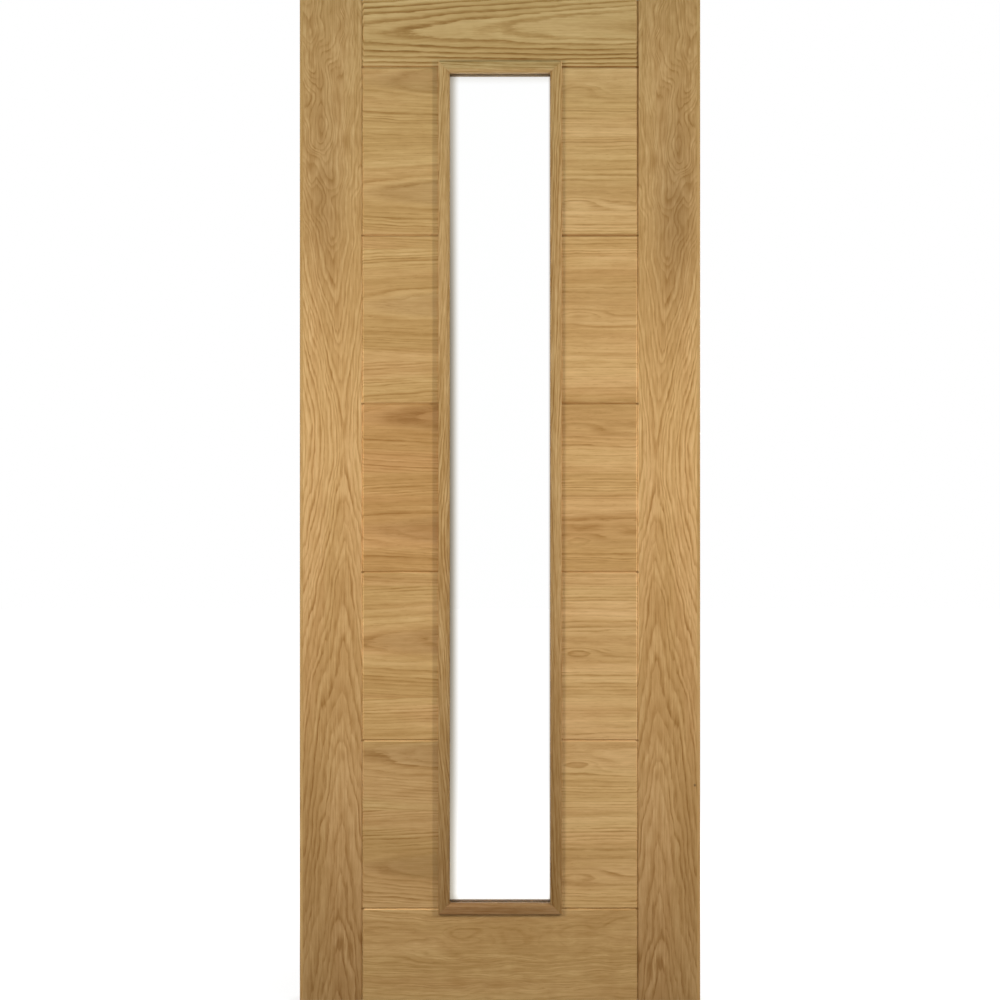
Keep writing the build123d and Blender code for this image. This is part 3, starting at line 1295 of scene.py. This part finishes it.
@dataclass
class GlazingBeads:
    """The four mitred beads on one face, which lap over the boards round the slot.

    Attributes:
        face: which face they are on.
        lap: how far the lip reaches over the boards.
        splay: how far the inner side leans back.
        outer_radius: rounding of the outer arris.
        inner_radius: rounding of the inner arris.
        arris_segments: how many facets round each arris.
        smooth_angle: degrees up to which the shading runs over an edge.
        mitre_gap: half the hairline between two mitred ends.
    """

    face: Face
    lap: float = 11.0 * MM
    splay: float = 6.0 * MM
    outer_radius: float = 2.5 * MM
    inner_radius: float = 1.5 * MM
    arris_segments: int = 6
    smooth_angle: float = 30.0
    mitre_gap: float = 0.06 * MM

    def build(self, sizes: LeafSizes) -> dict[SlotEdge, bpy.types.Object]:
        """Models a long and a short bead, and copies them round the slot.

        Args:
            sizes: sizes of the leaf.

        Returns:
            The beads, by the edge of the slot that they are on.
        """
        half_width = (sizes.slot_right - sizes.slot_left) / 2
        half_height = (sizes.slot_top - sizes.slot_bottom) / 2
        middle = Vector((sizes.slot_left + half_width, 0.0, sizes.slot_bottom + half_height))
        long_blank = self.model(sizes, half_width, half_height)
        short_blank = self.model(sizes, half_height, half_width)
        front_turns = {
            SlotEdge.HINGE_SIDE: 0.0,
            SlotEdge.TOP: 90.0,
            SlotEdge.LOCK_SIDE: 180.0,
            SlotEdge.BOTTOM: 270.0,
        }
        beads = {}
        for edge, turn in front_turns.items():
            upright = edge in (SlotEdge.HINGE_SIDE, SlotEdge.LOCK_SIDE)
            about_face = 0.0
            if self.face is Face.BACK:
                about_face = 180.0
                turn = turn + 180.0 if upright else turn
            beads[edge] = self.copy(long_blank if upright else short_blank, edge, middle, turn, about_face)
        bpy.ops.object.select_all(action="DESELECT")
        long_blank.select_set(True)
        short_blank.select_set(True)
        bpy.ops.object.delete()
        return beads

    def model(self, sizes: LeafSizes, to_edge: float, half_edge: float) -> bpy.types.Object:
        """Models one bead on the front face, on the left of a slot that is centred on the origin.

        Args:
            sizes: sizes of the leaf.
            to_edge: from the slot's middle to the edge that the bead is on.
            half_edge: half the length of that edge.

        Returns:
            The bead.
        """
        body = sizes.sight_left - sizes.slot_left
        front, back, board = sizes.bead_front, sizes.bead_back, sizes.front_face
        inside = -to_edge + body
        length = 2 * (half_edge + self.lap)
        bpy.ops.object.select_all(action="DESELECT")
        bpy.ops.mesh.primitive_cube_add(size=1.0, location=(-to_edge + body / 2, (front + back) / 2, 0.0))
        bead = bpy.context.active_object
        bead.scale = (body, back - front, length)
        bpy.ops.object.transform_apply(location=True, rotation=True, scale=True)
        bpy.ops.object.mode_set(mode="EDIT")
        bpy.ops.mesh.select_all(action="SELECT")
        bpy.ops.mesh.bisect(plane_co=(0.0, board, 0.0), plane_no=(0.0, 1.0, 0.0))
        self.pick_faces(bead, lambda centre, normal: normal.x < -0.9 and centre.y < board)
        bpy.ops.mesh.extrude_region_move(TRANSFORM_OT_translate={"value": (-self.lap, 0.0, 0.0)})
        self.pick_edges(bead, inside, front)
        bpy.ops.transform.translate(value=(-self.splay, 0.0, 0.0))
        self.pick_edges(bead, -to_edge - self.lap, front)
        bpy.ops.mesh.bevel(offset=self.outer_radius, segments=self.arris_segments, affect="EDGES")
        self.pick_edges(bead, inside - self.splay, front)
        bpy.ops.mesh.bevel(offset=self.inner_radius, segments=self.arris_segments, affect="EDGES")
        for end in (1.0, -1.0):
            bpy.ops.mesh.select_all(action="SELECT")
            corner = (-to_edge, 0.0, end * (half_edge - self.mitre_gap))
            bpy.ops.mesh.bisect(plane_co=corner, plane_no=(1.0, 0.0, end), use_fill=True, clear_outer=True)
        bpy.ops.mesh.select_all(action="SELECT")
        bpy.ops.mesh.normals_make_consistent(inside=False)
        bpy.ops.object.mode_set(mode="OBJECT")
        bpy.ops.object.shade_smooth_by_angle(angle=math.radians(self.smooth_angle))
        return bead

    @staticmethod
    def pick_faces(piece: bpy.types.Object, test: Callable[[Vector, Vector], bool]) -> None:
        """Selects the faces that pass a test, and nothing else.

        Args:
            piece: the mesh object, in edit mode.
            test: is given a face's centre and normal.
        """
        bpy.ops.mesh.select_mode(type="FACE")
        bpy.ops.mesh.select_all(action="DESELECT")
        bpy.ops.object.mode_set(mode="OBJECT")
        for polygon in piece.data.polygons:
            polygon.select = test(polygon.center, polygon.normal)
        bpy.ops.object.mode_set(mode="EDIT")

    @staticmethod
    def pick_edges(piece: bpy.types.Object, x: float, y: float) -> None:
        """Selects the edges that run along Z at one place, and nothing else.

        Args:
            piece: the mesh object, in edit mode.
            x: place of the edges.
            y: place of the edges.
        """
        near = 0.01 * MM
        bpy.ops.mesh.select_mode(type="EDGE")
        bpy.ops.mesh.select_all(action="DESELECT")
        bpy.ops.object.mode_set(mode="OBJECT")
        places = [vertex.co for vertex in piece.data.vertices]
        for edge in piece.data.edges:
            ends = [places[index] for index in edge.vertices]
            edge.select = all(abs(end.x - x) < near and abs(end.y - y) < near for end in ends)
        bpy.ops.object.mode_set(mode="EDIT")

    def copy(
        self, blank: bpy.types.Object, edge: SlotEdge, middle: Vector, turn: float, about_face: float
    ) -> bpy.types.Object:
        """Copies a bead to its edge of the slot.

        Args:
            blank: the bead to copy.
            edge: the edge that the copy is on.
            middle: the middle of the slot.
            turn: degrees round the slot.
            about_face: degrees about the upright axis.

        Returns:
            The copy.
        """
        bpy.ops.object.select_all(action="DESELECT")
        blank.select_set(True)
        bpy.context.view_layer.objects.active = blank
        bpy.ops.object.duplicate(linked=False)
        bead = bpy.context.active_object
        bead.name = f"{self.face.value}_{edge.value}_moulding"
        bead.location = middle
        bead.rotation_euler = (0.0, math.radians(turn), math.radians(about_face))
        bpy.ops.object.transform_apply(location=True, rotation=True, scale=True)
        node = f"{self.face.value}_bead_{edge.value}"
        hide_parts(node)
        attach(bead, BODY)
        log.info("%s stands for %s", bead.name, node)
        return bead

    def dress(self, finishes: Finishes, beads: dict[SlotEdge, bpy.types.Object]) -> None:
        """Finishes the beads.

        Args:
            finishes: makes the materials.
            beads: the beads, by the edge of the slot that they are on.
        """
        for number, (edge, bead) in enumerate(beads.items()):
            wood = BEAD_WOOD[edge]
            figure = OakFigure(
                heart_across=-0.4,
                crown_along=wood.crown_along,
                drift_low=wood.lean,
                drift_high=wood.lean,
                heart_depth=0.1,
                ring_pitch=0.006,
                wander=0.8,
                shade_low=wood.shade_low,
                seed=20.0 + number,
            )
            bead.data.materials.append(finishes.oak(f"{bead.name}_oak", wood.grain, figure, wood.finish))
            log.info("%s is finished with oak", bead.name)


@dataclass
class Glazing:
    """The pane and the gasket strips on both sides of it."""

    glass: GlassFinish = GlassFinish()
    tape: GasketFinish = GasketFinish()

    def dress(self, finishes: Finishes) -> None:
        """Finishes the pane and the gaskets.

        Args:
            finishes: makes the materials.
        """
        coat("glass_pane", finishes.glass("clear_glass", self.glass))
        tape = finishes.gasket("glazing_tape", self.tape)
        for face in Face:
            coat(f"{face.value}_gasket", tape)


@dataclass(frozen=True)
class Softbox:
    """One soft area light.

    Attributes:
        name: the light's name.
        place: where it stands.
        aim: the point that it faces.
        size: its width and height.
        power: its power in watts.
        colour: its colour.
    """

    name: str
    place: Place
    aim: Place
    size: tuple[float, float]
    power: float
    colour: Colour = (1.0, 1.0, 1.0)

    def build(self) -> None:
        """Adds the light."""
        light = bpy.data.lights.new(self.name, "AREA")
        light.shape = "RECTANGLE"
        light.size, light.size_y = self.size
        light.energy = self.power
        light.color = self.colour
        lamp = bpy.data.objects.new(self.name, light)
        bpy.context.scene.collection.objects.link(lamp)
        lamp.location = self.place
        lamp.rotation_mode = "QUATERNION"
        lamp.rotation_quaternion = (Vector(self.aim) - Vector(self.place)).to_track_quat("-Z", "Y")


@dataclass
class Studio:
    """White surroundings, a pale floor, soft lights and the camera in front of the leaf.

    Attributes:
        sizes: sizes of the leaf.
        eye_distance: from the camera to the front face.
        fill: light from the surroundings at eye level.
        fill_slope: how much more of it comes from straight above.
        backdrop: light from behind the leaf.
        floor_colour: how pale the floor is.
        floor_glow: how much whiter the floor looks, under the leaf and away from it.
        floor_glow_reach: how far from the leaf the first gives way to the second.
        overfill: how many times the height of the picture the leaf fills.
        softboxes: the lights.
    """

    sizes: LeafSizes
    eye_distance: float = 4.2
    fill: float = 0.30
    fill_slope: float = 0.12
    backdrop: float = 0.6
    floor_colour: float = 0.36
    floor_glow: tuple[float, float] = (0.71, 0.87)
    floor_glow_reach: tuple[float, float] = (0.4, 1.0)
    overfill: float = 1.001
    softboxes: tuple[Softbox, ...] = (
        Softbox("left_softbox", (-1.25, -1.3, 1.25), (0.4, 0.0, 1.1), (0.6, 0.7), 23.5),
        Softbox("right_strip", (2.25, -1.0, 1.25), (0.4, 0.0, 1.1), (0.15, 0.7), 23.5),
        Softbox("overhead_softbox", (0.4, -0.9, 2.75), (0.4, 0.0, 1.6), (1.6, 0.4), 3.5, (0.4, 1.0, 1.2)),
        Softbox("back_softbox", (1.9, 2.2, 1.5), (0.4, 0.0, 1.1), (0.6, 0.7), 30.0),
    )

    def build(self) -> None:
        """Builds the surroundings, the lights and the camera."""
        bpy.context.scene.view_settings.view_transform = "Standard"
        self.world()
        self.floor()
        for softbox in self.softboxes:
            softbox.build()
        self.camera()

    def world(self) -> None:
        """White where the camera, a reflection or the glass looks, and a low soft fill elsewhere."""
        world = bpy.data.worlds.new("studio_white")
        world.use_nodes = True
        bpy.context.scene.world = world
        g = Graph(world.node_tree)
        background = world.node_tree.nodes["Background"]
        background.inputs["Color"].default_value = (1.0, 1.0, 1.0, 1.0)
        _, behind, up = g.split(Signal(g, g.add("ShaderNodeTexCoord").outputs["Generated"]))
        fill = up * self.fill_slope + self.fill
        backdrop = g.remap(behind, 0.0, 0.4) * self.backdrop
        lighting = g.math("MAXIMUM", backdrop, fill)
        g.feed(background.inputs["Strength"], g.math("MAXIMUM", g.seen(), lighting))

    def floor(self) -> None:
        """A pale floor under the leaf that keeps its shadow."""
        bpy.ops.object.select_all(action="DESELECT")
        bpy.ops.mesh.primitive_plane_add(size=30.0, location=(self.sizes.width / 2, 0.0, -0.5 * MM))
        floor = bpy.context.active_object
        floor.name = "studio_floor"
        bpy.ops.object.transform_apply(location=True, rotation=True, scale=True)
        material, g, shader = Finishes.start("floor_white")
        shader.inputs["Base Color"].default_value = (*[self.floor_colour] * 3, 1.0)
        shader.inputs["Roughness"].default_value = 0.9
        shader.inputs["Specular IOR Level"].default_value = 0.0
        shader.inputs["Emission Color"].default_value = (1.0, 1.0, 1.0, 1.0)
        x, y, _ = g.here()
        off = x - self.sizes.width / 2
        away = g.math("SQRT", off * off + y * y)
        glow = g.remap(away, *self.floor_glow_reach, *self.floor_glow)
        g.feed(shader.inputs["Emission Strength"], g.seen() * glow)
        floor.data.materials.append(material)

    def camera(self) -> None:
        """Looks straight at the middle of the front face, which fills the height of the picture."""
        data = bpy.data.cameras.new("front_camera")
        camera = bpy.data.objects.new("front_camera", data)
        bpy.context.scene.collection.objects.link(camera)
        middle = self.sizes.height / 2
        camera.location = (self.sizes.width / 2, self.sizes.front_face - self.eye_distance, middle)
        camera.rotation_euler = (math.radians(90.0), 0.0, 0.0)
        data.sensor_width = 36.0
        data.lens = self.overfill * data.sensor_width / 2 * self.eye_distance / middle
        bpy.context.scene.camera = camera


TOP_RAIL_FIGURE = OakFigure(
    heart_across=1.965,
    crown_along=0.12,
    taper_high=0.0235,
    reach=1.0,
    drift_high=0.03,
    heart_depth=0.08,
    ring_pitch=0.0055,
    wander=0.25,
    clear=0.25,
    broken=0.25,
    seed=7.0,
)
BOTTOM_RAIL_FIGURE = OakFigure(
    heart_across=0.13,
    crown_along=0.30,
    taper_high=0.02,
    drift_low=0.05,
    drift_high=0.05,
    heart_depth=0.05,
    ring_pitch=0.005,
    wander=1.0,
    swirl=0.9,
    swirl_from=-0.2,
    clear=0.5,
    seed=8.0,
)


def main() -> None:
    """Builds and dresses the leaf's sub-assemblies, and then the studio."""
    logging.basicConfig(level=logging.INFO, format="%(name)s: %(message)s")
    sizes = LeafSizes.from_frame()
    finishes = Finishes(sizes)
    for hand in Hand:
        Stile(hand).dress(finishes)
    Rail(Level.TOP, TOP_RAIL_FIGURE, TOP_RAIL_OAK).dress(finishes)
    Rail(Level.BOTTOM, BOTTOM_RAIL_FIGURE, BOTTOM_RAIL_OAK).dress(finishes)
    for hand in Hand:
        column = PanelColumn(hand, PANEL_OAK[hand], BOARD_TINTS[hand], heart_tone=HEART_TONES[hand])
        column.dress(finishes)
    for face in Face:
        beads = GlazingBeads(face)
        beads.dress(finishes, beads.build(sizes))
    Glazing().dress(finishes)
    Studio(sizes).build()


if __name__ == "__main__":
    main()
